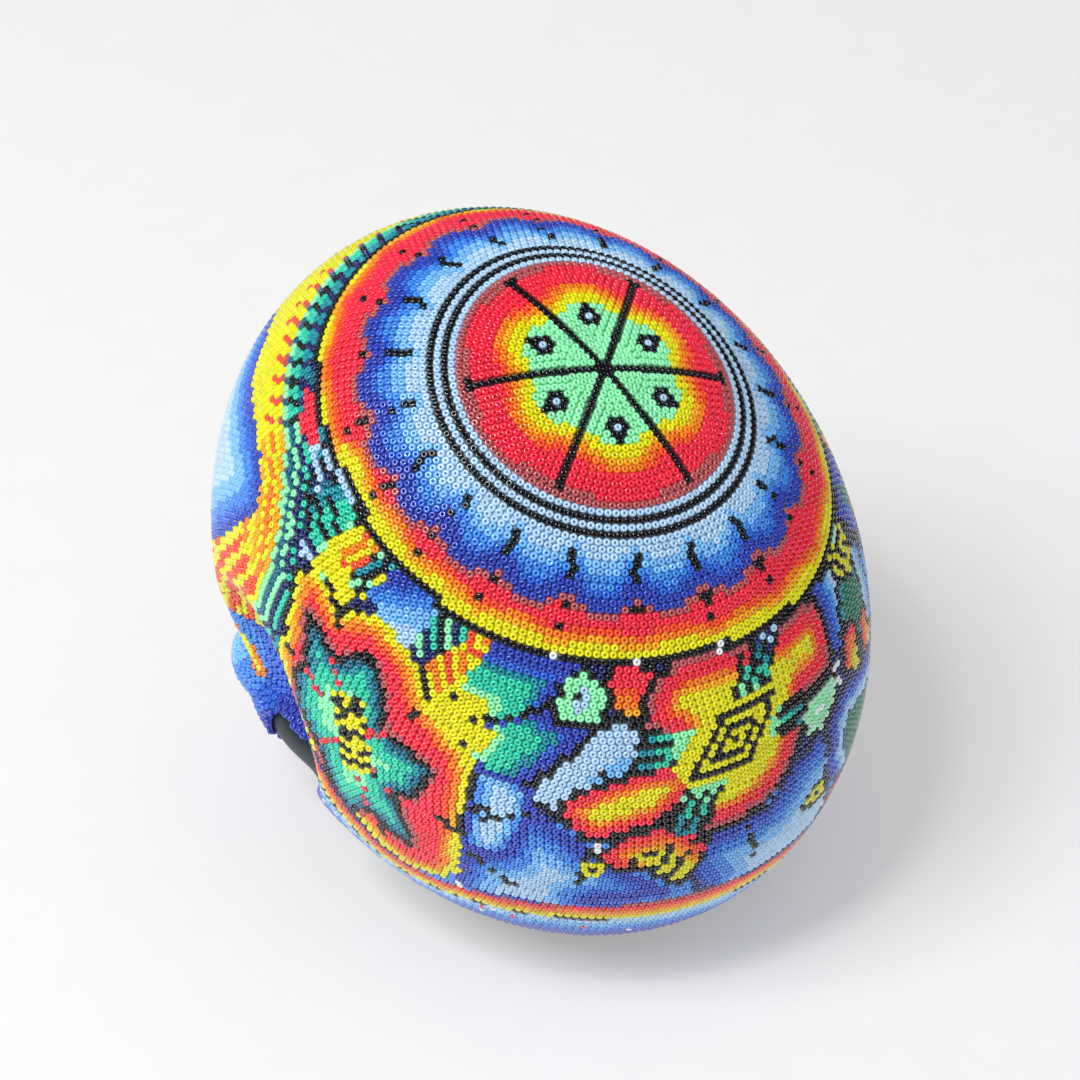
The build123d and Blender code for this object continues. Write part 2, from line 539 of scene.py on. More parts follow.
BORDER_BEARINGS = (-180, -140, -95, -60, -25, 10, 40, 70, 90, 105, 125, 140, 180)
BORDER_ARCS = (71, 70, 68, 73, 72.5, 69.3, 68.8, 68, 66.5, 65.8, 69, 70, 71)


def scallop(count, first):
    """0 at the cusps and 1 half way between them."""
    return np.abs(np.sin(np.radians((bearing - first) * count / 2)))


def cusps():
    """Bearings of the cusps between petals."""
    return [FIRST_CUSP + k * 360 / PETAL_COUNT for k in range(PETAL_COUNT)]


def border_edge(b):
    """Arc length at which the border ends."""
    return np.interp(b, BORDER_BEARINGS, BORDER_ARCS)


def crown_flower():
    bulge = scallop(SPOKES, FIRST_SPOKE)
    depth = arc - FLOWER_BULGE * bulge
    mask = arc < RINGS_START
    shade(mask, depth, "mint 9.4, yellow 1.4, amber 0.9, orange, vermilion 0.7, red 8")
    paint(mask & (arc > FLOWER_SHADE) & (bulge < 0.8), "brown")
    for k in range(SPOKES):
        b = FIRST_SPOKE + k * SECTOR
        dot(b, SPOKE_END, "black", 1.6)
        middle = b + SECTOR / 2
        drop = int(np.argmin(np.linalg.norm(points - at(middle, DROP_ARC), axis=1)))
        away = np.linalg.norm(points - points[drop], axis=1)
        paint(away < DROP_REACH, "black")
        paint(drop, "pale")
        spoke(middle, DROP_ARC + DROP_TAIL[0], DROP_ARC + DROP_TAIL[1])
    paint(on_spoke | (arc < 1.0), "black")


def crown_rings():
    for name, low in RINGS:
        paint((arc >= low) & (arc < RINGS_END), name)


def crown_petals():
    bulge = scallop(PETAL_COUNT, FIRST_CUSP)
    edge = PETAL_END + PETAL_BULGE * bulge
    mask = (arc >= RINGS_END) & (arc < edge)
    depth = arc - RINGS_END + PETAL_DIP * (1 - bulge)
    shade(mask, depth, "pale 3.1, sky 1.9, mid 1.4, blue 1.2, indigo 9")
    for b in cusps():
        spoke(b, *CUSP_DASH)
        dot(b, CUSP_DOTS[0][0], "black", CUSP_DOTS[0][1])
    return edge


def crown_border(inner):
    outer = border_edge(bearing)
    mask = (arc >= inner) & (arc < outer)
    inward = outer - arc + FRONT_CUT * ((bearing > FRONT_LEFT) | (bearing < FRONT_RIGHT))
    inward = inward + BORDER_WAVE * (1 - scallop(PETAL_COUNT, FIRST_CUSP))
    shade(mask, inward, "yellow 2, amber 0.6, orange 0.8, vermilion 0.6, red 9")
    paint(mask & (arc < inner + ROW), "brown")
    for b in cusps():
        for a, radius in CUSP_DOTS[1:]:
            dot(b, a, "black", radius)
    paint((arc >= outer) & (arc < outer + ROW), "black")
    for b in cusps():
        place = border_edge((b + 180) % 360 - 180)
        dot(b, place + 1.0, "white" if b < WHITE_CUSPS else "black", 1.1)


# ---- forehead
FOREHEAD = (89.5, 180.5)  # bearings at which it starts and ends
FOREHEAD_LOW = 160.0  # and the arc where the face begins
WARM_LINE = [(106, 150), (105, 135), (101, 118), (99, 108), (101, 98), (106, 90),
             (112, 84.5), (120, 81), (130, 80), (150, 80), (180, 81)]
WARM_TURN = 5  # the corner where this line turns to follow the border
WARM_TURN_ARC = 90
WARM_START = 98  # bearing
LOBE = [(111.8, 98), (113, 94), (117, 91), (121, 90), (128, 91), (135, 94), (142, 96.3),
        (150, 96.5), (158, 100), (160, 110), (152, 124), (138, 136), (124, 140), (117.5, 122)]
COOL_STRIPES = ("mint", "petrol", "mint", "navy", "turquoise", "navy", "teal", "black", "petrol", "navy")
WARM_STRIPES = ("amber", "yellow", "orange", "yellow", "amber", "yellow", "yellow", "orange", "yellow")
LOW_STRIPES = ("yellow", "vermilion")
LOW_STRIPES_ARC = 105.0
LOW_STRIPES_REACH = 20.0  # they end this far from the line where the cool stripes start
LOW_STRIPE = 2.7  # width of one
COMB_START = 124.0
COMB_STEP = 4.6  # degrees of bearing from stripe to stripe
COMB_LEAN = 2.2  # mm of arc each stripe drops per degree
COMB_DARK = 0.4  # share of the comb that is dark
COMB_LINE = 0.27  # and from here on a dark stripe turns yellow lower down
COMB_LINE_ARC = 82
COMB_TOP = 71  # arc where its colours start


def forehead(side):
    b = around(side)
    area = (b > FOREHEAD[0]) & (b <= FOREHEAD[1]) & (arc < FOREHEAD_LOW)
    area &= arc >= border_edge(bearing) + ROW
    line_arc = np.interp(b, *zip(*WARM_LINE[WARM_TURN:]))
    rise_bearings, rise_arcs = zip(*WARM_LINE[WARM_TURN::-1])
    line_bearing = np.interp(arc, rise_arcs, rise_bearings)
    warm = np.where(arc < WARM_TURN_ARC, arc > line_arc, b > line_bearing) & (b > WARM_START)
    away = np.minimum(distance(skin_line(WARM_LINE, False, side), area), FOREHEAD_LOW)
    index = (away / ROW).astype(int)
    cool = np.array([INDEX[n] for n in COOL_STRIPES])[index % len(COOL_STRIPES)]
    hot = np.array([INDEX[n] for n in WARM_STRIPES])[np.minimum(index, len(WARM_STRIPES) - 1)]
    swirl = area & (b < COMB_START)
    colour[swirl] = np.where(warm, hot, cool)[swirl]
    low = swirl & warm & (arc > LOW_STRIPES_ARC) & (away < LOW_STRIPES_REACH)
    stripe = np.floor(away / LOW_STRIPE) % 2
    for k, name in enumerate(LOW_STRIPES):
        paint(low & (stripe == k), name)
    comb_area = area & (b >= COMB_START)
    phase = ((b - (arc - 70) / COMB_LEAN) / COMB_STEP) % 1
    dark = phase < COMB_DARK
    shade(comb_area & dark, arc - COMB_TOP,
          "navy 2.5, black 2.2, petrol, brown 0.7, vermilion 3, orange 0.8, yellow")
    paint(comb_area & dark & (phase > COMB_LINE) & (arc > COMB_LINE_ARC), "yellow")
    shade(comb_area & ~dark, arc - COMB_TOP, "petrol, teal 2, turquoise 1.6, mint 1.6, yellow")
    motif(LOBE, "indigo 1.2, blue 1.5, mid 2, sky 2.6, pale", rim=None, side=side,
          edge=[(124, 140), (117.5, 122)] + LOBE[:11])


def brow_diamond():
    """A diamond over the middle of the brow, in the manner of the one at the back."""
    outline = [(164, 105), (180, 90), (196, 105), (180, 124)]
    motif(outline, "brown 0.8, red 1.6, vermilion 0.8, orange, amber 0.8, mint, turquoise, teal, petrol")
    core = [(173, 105), (180, 98), (187, 105), (180, 113)]
    motif(core, "black, yellow, black, yellow", rim=None)


def forehead_accents(side):
    fan = [(93.2, 70), (97, 68.6), (105, 69), (111, 72.5), (108, 77), (102, 80), (98, 84), (94.5, 82)]
    slope(fan, (93, 77), (110, 74), "mint 2, turquoise 3, teal 2, petrol, navy", side)
    trace([(94.5, 75), (104, 72.6)], 0.75, side)
    trace([(95, 79.4), (106, 75.8)], 0.75, side)
    motif([(95.5, 84.5), (99.5, 83), (101, 86), (97, 88)], "pale", rim="navy", side=side)
    trace([(98, 68.2), (106, 68.2), (112, 70), (116, 71)], 0.95, side, "pale")
    trace([(107, 74.5), (111, 72.5), (116, 73.5)], 0.95, side, "pale")
    motif([(115.5, 72.2), (118, 70.4), (124, 70.2), (131, 72), (128, 74.6), (120, 75), (116.5, 74)],
          "red 1.2, vermilion 0.4, orange 0.8, yellow", rim=None, side=side)


# ---- temples
HALO = [(61.5, 91), (56, 95), (51.5, 99), (49.5, 106), (48.2, 116), (47, 128), (45.3, 138),
        (46.5, 145.5), (52, 149), (57, 146.5), (61, 142), (66, 137.5), (71, 131), (77.5, 125),
        (82, 121.5), (86.8, 115.5), (90, 110.5), (91.2, 103.5), (96.3, 91.5), (95.3, 86),
        (90, 84.5), (85, 87), (82, 82.8), (77.5, 80.2), (70.5, 82), (65, 85)]
STAR = [(75, 91), (79.3, 98.5), (88.5, 95), (82.8, 106.5), (84.3, 109.5), (81.5, 117.5),
        (77, 121.5), (74.3, 123.5), (68.5, 134.5), (64.5, 138.5), (62, 132), (54, 136.5),
        (54.8, 131), (60.3, 121), (57.2, 117.5), (56.3, 108.5), (59, 107), (66, 105.5), (69, 97.5),
        (72.5, 92)]
STAR_CENTRE = (70, 112)
STAR_AXIS = ((67.2, 119.5), (73.5, 105))  # the star's middle chain lies along this
STAR_NOTCHES = [(79.3, 98.5), (82.8, 107), (74.3, 123.5), (62, 131.5), (60.5, 121), (66, 105.5)]
NOTCH_BEADS = 6  # beads in a line from each notch of the star inward
NOTCH_REACH = 0.65  # share of the way to the middle that this line covers
CHAIN_REACH = 10.88  # half length of the chain in the star's middle
CHAIN_STEP = 1.85
STAR_SHADOW = 2.5  # width of the brown line round the star
HALO_LINES = [[(50, 104), (48.7, 116), (47.6, 122)], [(90.6, 108), (91.4, 103.5), (96.6, 91.5), (95.3, 86)],
              [(82, 82.8), (85, 87), (90, 84.5)], [(64.5, 84.8), (61.5, 91)]]
HALO_NOTCHES = [(62.5, 95), (85, 87), (48.5, 122.5), (57, 140), (90, 106)]
HALO_NOTCH_REACH = 0.14  # the halo's notches go this share of the way to the star's middle


def toward_centre(b, a, share):
    """A place a share of the way to the middle of the star."""
    return b + (STAR_CENTRE[0] - b) * share, a + (STAR_CENTRE[1] - a) * share


def star_centre(side):
    """A narrow yellow chain of black links along the star."""
    centre = at(side * STAR_CENTRE[0], STAR_CENTRE[1])
    (b0, a0), (b1, a1) = STAR_AXIS
    along = at(side * b1, a1) - at(side * b0, a0)
    along = along / np.linalg.norm(along)
    across = np.cross(on_skin(centre)[1], along)
    lengthwise = (points - centre) @ along
    u = np.round(lengthwise / CHAIN_STEP).astype(int)
    v = np.abs(np.round((points - centre) @ across / CHAIN_STEP)).astype(int)
    near = np.linalg.norm(points - centre, axis=1) < CHAIN_REACH + 2 * CHAIN_STEP
    chain = near & (np.abs(lengthwise) < CHAIN_REACH)
    paint(chain & (v <= 2), "yellow")
    link = ((v == 2) & (u % 2 == 0)) | ((v == 1) & (u % 2 == 1)) | ((v == 0) & (u % 4 == 0))
    paint(chain & link, "black")


def temple(side):
    halo = inside(HALO, side)
    motif(HALO, "yellow 1.4, amber 0.6, orange 0.9, vermilion 0.6, red", rim=None, side=side)
    paint(halo & (distance(skin_line(STAR, True, side), halo) < STAR_SHADOW), "brown")
    for edge in HALO_LINES:
        trace(edge, side=side)
    motif(STAR, "petrol 0.5, teal, turquoise 2.2, mint", side=side)
    for b, a in STAR_NOTCHES:
        for k in range(NOTCH_BEADS):
            place = toward_centre(b, a, NOTCH_REACH * k / (NOTCH_BEADS - 1))
            dot(*place, "brown" if k % 2 else "red", 0.95, side)
    star_centre(side)
    for b, a in HALO_NOTCHES:
        trace([(b, a), toward_centre(b, a, HALO_NOTCH_REACH)], 0.75, side)


# ---- between medallion and star
WARM_COMB = [(56, 71), (60, 70.3), (65.6, 81.5), (62.5, 90), (59.5, 86), (57.5, 79)]
COOL_COMB = [(60, 70), (68.8, 68.8), (69.4, 78), (67, 82.6), (64.5, 81)]
FAR_COOL_COMB = [(82, 68), (87.5, 67.5), (88.5, 76), (85.5, 82), (83.2, 79)]
FAR_WARM_COMB = [(86.5, 67.8), (92.5, 67.5), (94, 73), (93, 78), (88.5, 79), (87, 74)]
SLANT_RUN = 1.25  # a slanting stripe's direction, per degree of bearing
SLANT_DROP = 0.8  # and per mm of arc
SLANT_WIDTH = 1.344 * ROW


def comb(outline, lean, names, side):
    """Slanting stripes one bead wide; lean is the sign of their slant."""
    mask = inside(outline, side)
    across = (around(side) * SLANT_RUN * lean + (arc - 70) * SLANT_DROP) / SLANT_WIDTH
    index = np.floor(across).astype(int) % len(names)
    for k, name in enumerate(names):
        paint(mask & (index == k), name)


def behind_temple(side):
    motif([(55.5, 72), (60, 70), (66, 82), (64.5, 85), (61.5, 92), (56, 97), (50, 104),
           (50, 97), (52, 91), (54.5, 86), (58, 83.5), (56.5, 77)], "yellow", rim=None, side=side)
    comb(WARM_COMB, 1, ("yellow", "vermilion", "yellow", "orange"), side)
    comb(COOL_COMB, 1, ("mint", "black", "turquoise", "navy"), side)
    for b, a in ((58, 87.5), (52.6, 90), (53.7, 96.5)):
        dot(b, a, "black", 1.15, side)
    slope([(68.8, 69), (82.2, 67.5), (82.8, 78), (77.5, 80.6), (69.2, 82.6)],
          (79, 69), (72, 82), "indigo 1.6, blue, mid 1.6, sky 2.4, pale 2", side, rim=None)
    motif([(81.5, 68.5), (93, 67.5), (96, 76), (95.5, 86), (90, 84.5), (85, 87.5), (82.8, 80)],
          "yellow", rim=None, side=side)
    comb(FAR_COOL_COMB, -1, ("mint", "black", "teal", "black"), side)
    comb(FAR_WARM_COMB, -1, ("yellow", "vermilion", "yellow", "orange"), side)


def blue_fans():
    motif([(35, 85), (40, 75), (37.4, 71), (56, 70.5), (56.5, 77), (58, 83.5), (54.5, 86), (52.5, 92),
           (50, 100), (44, 103), (41.8, 102.5), (33.5, 86)],
          "indigo", rim=None)
    trace([(44, 103), (41.8, 102.5), (33.5, 86), (35, 85), (40, 75), (37.4, 71), (56, 70.5)])
    fade = "indigo 1.8, blue 0.5, teal 1.2, turquoise 3.2, mint 1.2, yellow"
    motif([(38, 71.3), (55.5, 70.7), (56.5, 77), (58, 83.5), (54, 86), (52.5, 91), (46, 86), (41.5, 82)],
          fade, rim=None, edge=[(41.5, 82), (38, 71.3), (55.5, 71)])
    motif([(34, 86.5), (41.5, 83), (46, 87.5), (52.5, 91.5), (50.8, 99), (44, 102.5), (41.5, 101)],
          fade, rim=None, edge=[(41.5, 83.5), (34, 86.5), (41.8, 102.5)])
    for k in range(6):
        dot(41.8 + k * 2.2, 81.6 + k * 1.7, "black", 1.1)


def rear_left():
    slope([(23.2, 72), (27, 70.6), (31.6, 71.4), (32, 75.5), (30, 80), (27, 84), (25.5, 82), (22.8, 75.5)],
          (27, 70), (27, 85), "red 3, vermilion 0.8, orange 1.2, amber 2")
    motif([(31.6, 77), (36, 72.3), (39.5, 74.5), (41, 82.3), (38, 85), (32.6, 84.3)], "mint 1.6, pale")
    dot(37.2, 78.4, "black", 1.3)
    motif([(24, 88.5), (27.5, 83.3), (32.2, 85.5), (40.6, 103), (40, 107), (36.4, 107.6), (31, 100),
           (26, 96), (24.3, 93)], "pale")
    motif([(25.5, 94), (28, 92), (33, 98.5), (31, 100), (26.5, 97)], "sky", rim=None)
    dot(30.4, 97.2, "black", 1.2)
    motif([(17.5, 135), (30, 119.5), (39.6, 109), (41, 125), (45.6, 129.5), (44.3, 144), (27.5, 141.8),
           (17, 139.5)],
          "indigo 0.9, blue, mid 1.5, sky 2, pale", rim="indigo",
          edge=[(27.5, 138), (17.5, 135), (30, 119.5), (39.8, 109), (41, 125), (45.6, 130), (45, 142)])
    motif([(41, 104), (44, 101.8), (49.4, 102.2), (48, 112), (46.4, 126.5), (41.3, 125), (40.2, 112)],
          "mid 0.6, sky 1.1, pale", rim="indigo")
    trace([(40.5, 110.8), (46.2, 116)], 0.8)
    trace([(45.5, 111), (48, 114)], 0.75)
    trace([(37.3, 136.5), (45.5, 128.5)], 0.85)
    trace([(29.6, 119), (29.6, 131)], 0.8)
    dot(44.6, 145, "white", 1.5)
    dot(28.9, 118, "white", 1.5)


# ---- back of the head
DIAMOND = [(-1.2, 85.85), (10.6, 85.85), (17.4, 101.15), (5.2, 101.15)]
UPPER_LEFT = [(1.5, 72.3), (8, 70.8), (18.5, 71), (23.8, 76.5), (24.3, 85.5), (19.5, 88.6),
              (10.4, 92), (6, 90), (4, 84)]
UPPER_RIGHT = [(0, 84), (-6.8, 74.2), (-13, 73.6), (-18.5, 76), (-18.5, 84), (-15.8, 92.6),
               (-8.5, 92.4), (0, 91), (6, 92)]
LOWER_RIGHT = [(-1, 98.5), (-5.8, 99.8), (-1, 110.2), (3.5, 114.5), (8, 116.6), (13.2, 116.2),
               (11.5, 106), (9, 98)]
LOWER_LEFT = [(14, 97), (18, 96.4), (24, 96.6), (30.3, 100.2), (34.4, 104), (35.8, 108.6),
              (30.2, 115.6), (20.5, 110.4), (16.4, 103.5), (12, 103)]
GROUND = [(-2.5, 84), (5, 83.5), (12.5, 83.2), (19.5, 98), (15, 104), (4, 104), (-1.5, 97)]


def back_lobes():
    wide = "brown 0.8, red 1.7, vermilion 0.5, orange 0.7, amber 0.5, yellow"
    motif(UPPER_LEFT, wide, edge=UPPER_LEFT[:6])
    motif(UPPER_RIGHT, wide, edge=UPPER_RIGHT[1:7])
    motif(LOWER_RIGHT, wide, edge=LOWER_RIGHT[1:6])
    motif(LOWER_LEFT, "red 1.1, vermilion 0.5, orange 0.6, amber 0.5, yellow", edge=LOWER_LEFT[1:9])
    paint(inside(GROUND), "yellow")


def stripes(outline, start, end, line, step, count):
    """A cool fringe that grows darker from start to end, with black lines a step apart."""
    slope(outline, start, end, "mint 1.2, turquoise, teal, petrol 0.6", rim=None)
    for k in range(count):
        trace([(b + step[0] * k, a + step[1] * k) for b, a in line], 0.8)


def arms():
    """Striped fringes between the lobes."""
    stripes([(-3.6, 75), (2, 74.5), (6.5, 83.5), (0, 85)],
            (2, 86), (-1, 74), [(-1.8, 75), (1.4, 83.3)], (2.7, 0), 3)
    stripes([(15.6, 87.5), (24.4, 88.5), (24.6, 95.5), (18.5, 96.3)],
            (16, 92), (26.5, 92), [(17.4, 89.3), (25, 89.8)], (0.6, 3.3), 3)
    stripes([(-7.5, 93.2), (-0.5, 91.5), (2, 97.3), (-6, 98.8)],
            (1, 95), (-8, 95.5), [(-7.5, 94.4), (-1, 93.8)], (0.6, 3.0), 2)
    stripes([(9.5, 103), (16.4, 103.5), (19.5, 111), (17.5, 117), (13.5, 115), (11, 107)],
            (13, 103), (17, 118), [(10.8, 104.5), (14.3, 114.5)], (2.5, 0), 3)
    for b, a in ((-6.2, 70.8), (-5.2, 72.6), (-4.2, 74.4), (-2.6, 73.4), (-1.6, 71.6)):
        dot(b, a, "pale", 1.05)


def diamond():
    mask = inside(DIAMOND)
    depth = distance(skin_line(DIAMOND, True, 1), mask)
    shade(mask, depth, "black, yellow, black, yellow, black")


def rear_middle():
    motif([(-16.5, 96.5), (-12, 95.2), (-8, 94.8), (-5.6, 98.5), (-6.6, 104), (-10.5, 106.3), (-14.5, 102)],
          "leaf 1.3, mint 0.8, white")
    for b, a in ((-17.2, 95.5), (-16.8, 99.2), (-9, 108.6)):
        dot(b, a, "white", 1.3)
    motif([(-10, 107), (-3, 110), (2, 117), (8, 118.4), (13.5, 118), (14.5, 128), (11.5, 139.5), (-12, 141)],
          "indigo 1.2, blue 1.8, mid 2, sky 2.6, pale", rim="navy",
          edge=[(-9, 107), (-3, 110), (2, 117), (8, 118.4), (13.5, 119), (14.5, 128), (11.5, 139)])
    trace([(6, 120.5), (3.4, 133)], 0.85)
    motif([(17, 113.5), (21, 113), (26, 115.6), (27.6, 121), (25, 126), (20.5, 126), (17.4, 130.5),
           (15.4, 133.5), (13.6, 127), (12.4, 121), (14.6, 117)],
          "red 1.2, vermilion 0.8, orange 0.8, amber 0.8, yellow",
          edge=[(12.4, 121), (14.6, 116.5), (17, 113.5), (21, 113), (26, 115.6), (27.6, 121), (25, 126)])
    trace([(17.4, 114.5), (19.2, 127)], 0.75)
    trace([(14.6, 118), (16.9, 128.5)], 0.75)
    for b, a in ((21, 121), (22.6, 123.2)):
        dot(b, a, "black", 1.2)
    dot(28.5, 125.5, "yellow", 3.0)
    dot(28.5, 125.5, "black", 1.0)


def rear_right():
    motif([(-27, 76), (-24.4, 74.6), (-19.6, 74.2), (-18.6, 86), (-17.6, 92), (-20.5, 92.5), (-24, 84),
           (-28, 82.5)],
          "indigo 1.2, blue, mid 1.2, sky 1.2, pale", edge=[(-19.6, 74), (-18.4, 86), (-17.4, 93)])
    motif([(-36, 85), (-30, 82), (-26, 82.6), (-22.5, 91), (-26, 96), (-28.5, 104), (-34.5, 96)],
          "teal, green")
    flame = [(-35, 104), (-32, 96.5), (-29.6, 97), (-27.6, 106), (-32, 109.5), (-35, 108)]
    motif(flame, "red 0.8, orange 1.2, amber, yellow", flame[:4])
    motif([(-26.6, 94), (-23.6, 91), (-19.6, 98.5), (-22.5, 104.5), (-24.6, 105)],
          "red, orange 1.2, amber, yellow", edge=[(-26.6, 95), (-23.6, 91), (-19.6, 98.5)])
    motif([(-40, 76.5), (-33, 73), (-27.5, 73.4), (-29, 80.5), (-33.5, 85.6), (-38, 83.5)], "yellow")
    for k in range(3):
        trace([(-38.5 + k * 3.2, 82.5 - k * 0.6), (-34.5 + k * 3, 74.5)], 0.7)
    motif([(-39, 73.8), (-34, 72.8), (-34, 76.2), (-38, 76.8)], "leaf")
    motif([(-42, 85), (-38, 84.5), (-33.5, 97), (-33.5, 104), (-36, 108), (-40, 98)],
          "mid, sky 1.4, pale", edge=[(-42, 85), (-40, 98), (-36, 108)])
    motif([(-60, 74.5), (-52, 74), (-42, 75), (-42.5, 84), (-46, 92), (-60, 84)],
          "indigo 3, blue 2, green", edge=[(-60, 74.5), (-42, 75), (-43, 90)])
    motif([(-46, 79), (-49, 83), (-53, 82), (-50, 78)], "green", rim=None)
    field = [(-31, 111), (-25, 106.5), (-18, 103.5), (-12.5, 107), (-10.5, 122), (-14, 130), (-22, 132),
             (-30, 122)]
    motif(field, "indigo 1.4, blue, sky 0.9, pale 1.1, petrol, green", field[:5] + [(-13, 130)], "navy")
    motif([(-10.8, 124), (-7.5, 122.4), (-5.2, 125.6), (-7.4, 128.6), (-10.4, 128.4)], "yellow")
    dot(-8, 125.6, "black", 1.2)
    motif([(-32, 134), (-22, 134), (-14, 133), (-11, 139.5), (-30, 142)],
          "brown, vermilion, mid", rim="navy")
    motif([(-44, 92), (-41.5, 93), (-36, 112), (-32, 124), (-34, 140), (-44, 140), (-46, 120)],
          "mid 1.5, sky 1.5, pale, turquoise 2, teal", rim="navy")


# ---- rim round the base
RIM_BEARINGS = (-180, -90, -78, -66, -52, -40, -20, 0, 10, 20, 30, 40, 46, 52, 57, 61, 66, 71, 78, 90, 180)
RIM_ARCS = (119, 119, 127, 139, 150, 149, 146.5, 141.5, 140.6, 140.8, 142, 145, 148, 150, 148.5, 144.5,
            139.5, 133.5, 127, 119, 119)
RIM_END = 92  # bearing, left and right
ACCENTS_BELOW = 5.6 * ROW  # single white and red beads are strewn this far under its top
WHITE_SHARE = 0.025
RED_SHARE = 0.015


def rim():
    below = arc - np.interp(bearing, RIM_BEARINGS, RIM_ARCS)
    low = (np.abs(bearing) < RIM_END) & (below > 0) & ~face
    inside_halo = inside(HALO, 1) | inside(HALO, -1)
    shade(low & ~inside_halo, below, "brown 0.5, red, orange, amber 0.8, yellow 1.2,"
          " black 0.5, pale 1.5, sky 1.6, mid 2, blue 2, indigo")
    pick = rng.random(len(points))
    low &= below > ACCENTS_BELOW
    paint(low & (pick < WHITE_SHARE), "white")
    paint(low & (pick > 1 - RED_SHARE), "red")


# ---- face
SOCKET = (28.0, 58.0, 15.5, 13.0)  # middle X, Z and half-axes
NASAL = (0.0, 39.0, 10.0, 12.0)
SOCKET_BAND = 9.2  # width of the colours round a socket
NASAL_BAND = 7.4
FRONT_Y = -48.0  # these bands are painted only in front of this
BRIDGE_TOP = 54.0
BROW_LINE = 67.0
CHEEK_INNER = 18.0  # X where the cheeks begin
NOSE_HALF = 20.5
NOSE_LOW = 30.0
SOCKET_INNER = 9.0
CHEEK_MIDDLE = (-58.0, 54.0)  # Y, Z of the cheek's pale spot
FLAME_MIDDLE = (-46.0, 54.0)
FLAME_REACH = (3.8, 2.4)  # of its orange and of its yellow
JAW_TOP = 34.0
JAW_HALF = 36.0
JAW_STRIPE = 6.2
TOOTH_TOP = 14.5
GUM_LINE = 1.9  # the teeth's red edge
TOOTH_WIDTH = 7.6
TOOTH_GAP = 0.24  # black share of it
TOOTH_FRONT = -34.0  # Y where the row of teeth ends at the back
ARCH_MIDDLE_Y = -50.0
ARCH_REACH = 31.0


def around_hole(hole, x, z):
    """Rough distance in mm outside an oval hole seen from the front."""
    middle_x, middle_z, half_x, half_z = hole
    size = (half_x + half_z) / 2
    return (np.hypot((x - middle_x) / half_x, (z - middle_z) / half_z) - 1) * size


def face_parts():
    x, y, z = points.T
    out = np.abs(x)
    round_arch = np.arctan2(x, ARCH_MIDDLE_Y - y) * ARCH_REACH
    low = face & (z < BROW_LINE)
    cheek = low & (out > CHEEK_INNER)
    shade(cheek, np.hypot(y - CHEEK_MIDDLE[0], z - CHEEK_MIDDLE[1]), "pale 2, sky 4, mid 5, blue 4, indigo")
    rise = (z - FLAME_MIDDLE[1]) / 2
    flame = np.hypot(y - FLAME_MIDDLE[0] + rise, rise)
    paint(cheek & (flame < FLAME_REACH[0]), "orange")
    paint(cheek & (flame < FLAME_REACH[1]), "yellow")
    paint(cheek & (z < JAW_TOP), "indigo")
    shade(low & (out <= NOSE_HALF) & (z > NOSE_LOW), out,
          "black 0.4, yellow 1.2, amber, orange, vermilion, red 1.4, brown, indigo")
    jaw = low & (z < JAW_TOP) & (out < JAW_HALF)
    warm = round_arch / JAW_STRIPE % 1 < 0.5
    shade(jaw & warm, JAW_TOP - z, "yellow, amber, orange 1.5, vermilion 2, red 3, brown")
    shade(jaw & ~warm, JAW_TOP - z, "mint 2, turquoise 2, teal 3, petrol 2, navy")
    front = face & (y < FRONT_Y)
    nose = around_hole(NASAL, x, z)
    shade(front & (nose < NASAL_BAND) & (z < BRIDGE_TOP), nose, "black, yellow, orange, red")
    eye = around_hole(SOCKET, out, z)
    shade(front & (eye < SOCKET_BAND) & (out > SOCKET_INNER), eye, "black, pale, sky, mid, indigo")
    tooth = low & (z < TOOTH_TOP) & (y < TOOTH_FRONT)
    paint(tooth, "white")
    paint(tooth & (round_arch / TOOTH_WIDTH % 1 < TOOTH_GAP), "black")
    paint(tooth & (z > TOOTH_TOP - GUM_LINE), "red")


LOW_ARC = 112.0  # the spaces between motifs are mid blue below this
LOW_HALF = 50.0  # and nearer the back than this bearing
face = np.array([in_face(p) for p in points])
paint(arc > border_edge(bearing), "navy")
paint((arc > LOW_ARC) & (np.abs(bearing) < LOW_HALF), "mid")
for side in (1, -1):
    forehead(side)
    forehead_accents(side)
    behind_temple(side)
brow_diamond()
blue_fans()
rear_left()
rear_middle()
rear_right()
back_lobes()
arms()
diamond()
rim()
for side in (1, -1):
    temple(side)
crown_flower()
crown_rings()
crown_border(crown_petals())
face_parts()


# ---- materials
def material(name):
    mat = bpy.data.materials.new(name)
    mat.use_nodes = True
    nodes = mat.node_tree.nodes
    return mat, nodes, mat.node_tree.links, nodes["Principled BSDF"]


def noise(nodes, links, scale, detail=2.0):
    """A 0 to 1 value that varies over the object."""
    coords = nodes.new("ShaderNodeTexCoord")
    tex = nodes.new("ShaderNodeTexNoise")
    tex.inputs["Scale"].default_value = scale
    tex.inputs["Detail"].default_value = detail
    links.new(coords.outputs["Object"], tex.inputs["Vector"])
    return tex.outputs["Fac"]


def spread(nodes, links, value, low, high):
    """Map a 0 to 1 value to low to high."""
    node = nodes.new("ShaderNodeMapRange")
    node.inputs["To Min"].default_value = low
    node.inputs["To Max"].default_value = high
    links.new(value, node.inputs["Value"])
    return node.outputs["Result"]


def bump(nodes, links, bsdf, value, strength, depth):
    node = nodes.new("ShaderNodeBump")
    node.inputs["Strength"].default_value = strength
    node.inputs["Distance"].default_value = depth
    links.new(value, node.inputs["Height"])
    links.new(node.outputs["Normal"], bsdf.inputs["Normal"])


